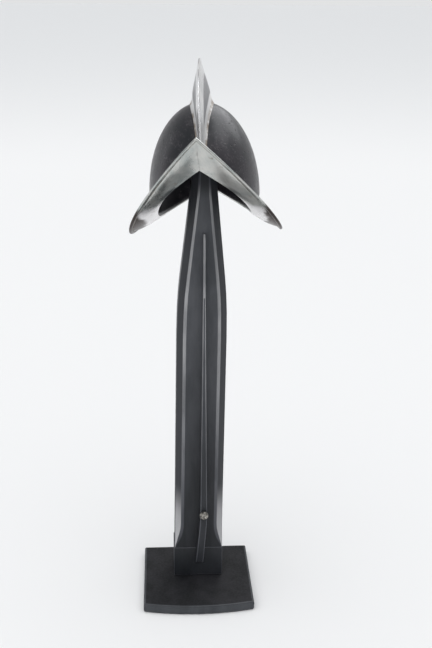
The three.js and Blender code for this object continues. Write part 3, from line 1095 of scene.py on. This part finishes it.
wood = stand_wood("stand_black_wood", WOOD_DARK, WOOD_LIGHT, WOOD_ROUGH, WOOD_LIT_TOP)
wood.put_on(post, front_rib, head_rest, foot_block)
# painted shade: the base's top takes a darker copy of the wood
shaded_board = stand_wood("base_painted_shade_wood", BOARD_SHADED_DARK, BOARD_SHADED_LIGHT, BOARD_ROUGH, spec=0.3)
shaded_board.put_on(base_plate)

# %% [markdown]
# Along the arrises the wood is paler, partly where the stain has rubbed thin and partly as a painted
# highlight, and it is painted paler still towards the top as painted light.
# Round the base the upright faces are painted a little lighter than its top, as painted light. Both are the
# same wood in paler tones, so the same function makes them.

# %% Rubbed wood and sawn edges
RUBBED_LIT_DARK = (0.040, 0.043, 0.052)
RUBBED_LIT_LIGHT = (0.075, 0.078, 0.09)
RUBBED_LIT_TOP = ((0.17, 0.173, 0.182), (0.34, 0.342, 0.352))
RUBBED_ROUGH = (0.36, 0.5)
BASE_SIDE_LIT_DARK = (0.034, 0.038, 0.044)
BASE_SIDE_LIT_LIGHT = (0.050, 0.054, 0.061)
BASE_SIDE_ROUGH = (0.42, 0.55)

# paler finish on arrises: partly wear, partly painted highlight, painted lighter towards the top
rubbed_and_lit = stand_wood("stand_rubbed_and_lit_wood", RUBBED_LIT_DARK, RUBBED_LIT_LIGHT, RUBBED_ROUGH, RUBBED_LIT_TOP)
rubbed_and_lit.put_on(post, front_rib, head_rest, foot_block)
# painted light on the base's upright faces
lit_base_sides = stand_wood("base_painted_light_side", BASE_SIDE_LIT_DARK, BASE_SIDE_LIT_LIGHT, BASE_SIDE_ROUGH)
lit_base_sides.put_on(base_plate)

# %% [markdown]
# The post's cut corners are painted grey at the foot, as painted light where the flare there faces up to
# the lamp, and black above it.
# The change is by height alone, and a noise of long patches keeps the grey from being even.

# %% The post's cut corners
CUT_LIT_TO = (0.128, 0.215)
CUT_LIT_GREY = (0.42, 0.42, 0.435)
CUT_BLACK = (0.028, 0.030, 0.035)

lit_cut = Finish("stand_cut_painted_light")
lit_cut.set(Metallic=0.0, IOR=1.45, Specular_IOR_Level=0.4)
height = lit_cut.parts(lit_cut.place())[2]
# painted light: the cut faces are grey at the foot only
fade = lit_cut.span(height, *CUT_LIT_TO, 1.0, 0.0)
patchy = lit_cut.span(lit_cut.clouds(40, detail=5, stretch=(1, 1, 0.3)), 0.3, 0.7, 0.75, 1.0)
lit_cut.colour(lit_cut.blend(lit_cut.times(fade, patchy), CUT_BLACK, CUT_LIT_GREY))
lit_cut.rough(lit_cut.span(lit_cut.clouds(260, detail=4, stretch=FIBRE), 0.3, 0.7, *WOOD_ROUGH))
lit_cut.put_on(post)

# %% [markdown]
# The room is a pale floor that runs off to the horizon, a soft sky and a few large soft lamps.
# Far off the floor is painted a little darker, as painted shade where the lamps' light would fall off, and
# there the sky meets it at the same tone, so no line shows.
# A curved backdrop would hide the horizon too, but a flat floor looks the same from every side.
# The Standard view has no film curve, so tones are shown as they are.

# %% Floor
# radii in metres from the stand
FLOOR_RADIUS = 300
FLOOR_EVEN_TO = 5
FLOOR_SIDES = 96
FLOOR_NEAR = (0.855, 0.86, 0.868)
FLOOR_FAR_SHADE = (0.70, 0.712, 0.725)

bpy.context.scene.view_settings.view_transform = "Standard"
floor_shape = bmesh.new()
bmesh.ops.create_circle(floor_shape, cap_ends=True, segments=FLOOR_SIDES, radius=FLOOR_RADIUS)
floor_mesh = bpy.data.meshes.new("floor")
floor_shape.to_mesh(floor_mesh)
floor_shape.free()
floor = bpy.data.objects.new("floor", floor_mesh)
bpy.context.scene.collection.objects.link(floor)
pale = Finish("floor_pale")
pale.set(Roughness=0.75, Specular_IOR_Level=0.2)
# painted shade: the floor darkens away from the stand
nearness = pale.reckon("DIVIDE", FLOOR_EVEN_TO, pale.length(pale.place()))
pale.colour(pale.blend(pale.span(nearness, 0, 1), FLOOR_FAR_SHADE, FLOOR_NEAR))
pale.put_on(floor)

# %% [markdown]
# The sky is a ramp of greys by height above the horizon. An image of a real studio would light the
# helmet too, but its lamps would show in the steel where they happen to be.

# %% Sky
# height above the horizon as a share of straight up, and brightness
SKY = [(0.0, 0.775), (0.12, 0.68), (0.35, 0.48), (1.0, 0.45)]
SKY_TINT = (0.98, 0.99, 1.0)

world = bpy.data.worlds.new("studio")
bpy.context.scene.world = world
world.use_nodes = True
sky = world.node_tree
sky.nodes.clear()
sky_out = sky.nodes.new("ShaderNodeOutputWorld")
sky_light = sky.nodes.new("ShaderNodeBackground")
direction = sky.nodes.new("ShaderNodeTexCoord")
height = sky.nodes.new("ShaderNodeSeparateXYZ")
ramp = sky.nodes.new("ShaderNodeValToRGB")
stops = ramp.color_ramp.elements
while len(stops) < len(SKY):
    stops.new(0.5)
for stop, (at, tone) in zip(stops, SKY):
    stop.position = at
    stop.color = (*[tone * part for part in SKY_TINT], 1)
sky.links.new(direction.outputs["Generated"], height.inputs["Vector"])
sky.links.new(height.outputs["Z"], ramp.inputs["Fac"])
sky.links.new(ramp.outputs["Color"], sky_light.inputs["Color"])
sky.links.new(sky_light.outputs["Background"], sky_out.inputs["Surface"])
print("the sky has", len(stops), "tones")

# %% [markdown]
# A lamp in front and above lights the floor and the stand's front. It is a sun as wide as much of the
# sky, so its shadows are very soft, and it stays out of reflections, which the cards below make.

# %% Lamp
LAMP_STRENGTH = 2.1
LAMP_WIDTH = 100
LAMP_FORWARD = 20
LAMP_ASIDE = -6

lamp_data = bpy.data.lights.new("front_lamp", "SUN")
lamp_data.energy = LAMP_STRENGTH
lamp_data.angle = math.radians(LAMP_WIDTH)
lamp = bpy.data.objects.new("front_lamp", lamp_data)
lamp.rotation_euler = (math.radians(LAMP_FORWARD), math.radians(LAMP_ASIDE), 0)
lamp.visible_glossy = False
bpy.context.scene.collection.objects.link(lamp)
print("the lamp is", LAMP_WIDTH, "degrees wide")

# %% [markdown]
# Shiny things are lit by cards: a white one makes a broad soft highlight, and a grey one gives steel
# something dark to mirror, without which it would look like white paper. The cards only show in
# reflections, so they light no floor and cast no shadow.

# %% A card
CARD_TINT = (0.97, 0.98, 1, 1)


def card(name, at, aim, size, tone):
    """A flat card that faces a point. Its tone is its brightness, where white paper has 1."""
    shape = bmesh.new()
    bmesh.ops.create_grid(shape, x_segments=1, y_segments=1, size=0.5)
    bmesh.ops.scale(shape, vec=(*size, 1), verts=shape.verts)
    facing = (Vector(aim) - Vector(at)).to_track_quat("Z", "Y").to_matrix().to_4x4()
    bmesh.ops.transform(shape, matrix=Matrix.Translation(at) @ facing, verts=shape.verts)
    mesh = bpy.data.meshes.new(name)
    shape.to_mesh(mesh)
    shape.free()
    panel = bpy.data.objects.new(name, mesh)
    bpy.context.scene.collection.objects.link(panel)
    panel.visible_camera = False
    panel.visible_diffuse = False
    panel.visible_shadow = False
    glow = Finish(name)
    glow.set(Base_Color=(0, 0, 0, 1), Specular_IOR_Level=0.0)
    glow.set(Emission_Color=CARD_TINT, Emission_Strength=tone)
    mesh.materials.append(glow.material)
    print(name, "has a brightness of", tone)


# %% [markdown]
# Each card was placed for what it shows in. The first three make the broad highlights. The long one
# overhead and the small low one in front draw the line of the comb's ridge. The wide one in front is
# dark, for the faces that look forwards, and two small ones below the brim darken its two halves.

# %% The cards
HELMET_MIDDLE = (0, 0, 0.82)

# name, place, point that it faces, width and height, tone
CARDS = [
    ("key_card", (0.84, 1.08, 2.15), HELMET_MIDDLE, (1.5, 1.5), 2.5),
    ("right_card", (0.95, 0.05, 2.2), HELMET_MIDDLE, (0.8, 0.8), 2.6),
    ("left_card", (-1.6, 0.9, 1.3), HELMET_MIDDLE, (0.5, 1.2), 1.2),
    ("ridge_card", (0.06, -0.975, 2.4), (0.06, -0.975, 0), (0.2, 2.25), 5.0),
    ("low_card", (-0.83, -1.71, 1.70), HELMET_MIDDLE, (0.6, 0.5), 6.0),
    ("dark_card", (-0.2, -3.6, 1.3), HELMET_MIDDLE, (7, 3.4), 0.14),
    ("under_left_card", (-0.0425, -0.11, 0.6), (-0.0425, -0.11, 2), (0.055, 0.19), 0.10),
    ("under_right_card", (0.0575, -0.11, 0.6), (0.0575, -0.11, 2), (0.145, 0.19), 0.34),
]
for row in CARDS:
    card(*row)

# %% [markdown]
# The camera looks a little down at the stand from 1.7 m away, on a lens of normal length held upright.
# Its angles are turned into one matrix: first the roll about the view, then the dip, then the yaw.

# %% Camera
CAMERA_AT = Vector((-65.0, -1711.4, 1083.3)) * MM
CAMERA_YAW = math.radians(3.283)
CAMERA_DIP = math.radians(17.917)
CAMERA_ROLL = math.radians(0.44)
FRAME_HEIGHT = 648
FOCAL_PIXELS = 1000
SENSOR = 36

camera_data = bpy.data.cameras.new("camera")
camera_data.sensor_fit = "AUTO"
camera_data.sensor_width = SENSOR
camera_data.lens = SENSOR * FOCAL_PIXELS / FRAME_HEIGHT
camera = bpy.data.objects.new("camera", camera_data)
camera.location = CAMERA_AT
upright = Matrix.Rotation(-CAMERA_YAW, 4, "Z") @ Matrix.Rotation(math.pi / 2 - CAMERA_DIP, 4, "X")
camera.rotation_euler = (upright @ Matrix.Rotation(CAMERA_ROLL, 4, "Z")).to_euler()
bpy.context.scene.collection.objects.link(camera)
bpy.context.scene.camera = camera
print("the lens is", round(camera_data.lens, 1), "mm")
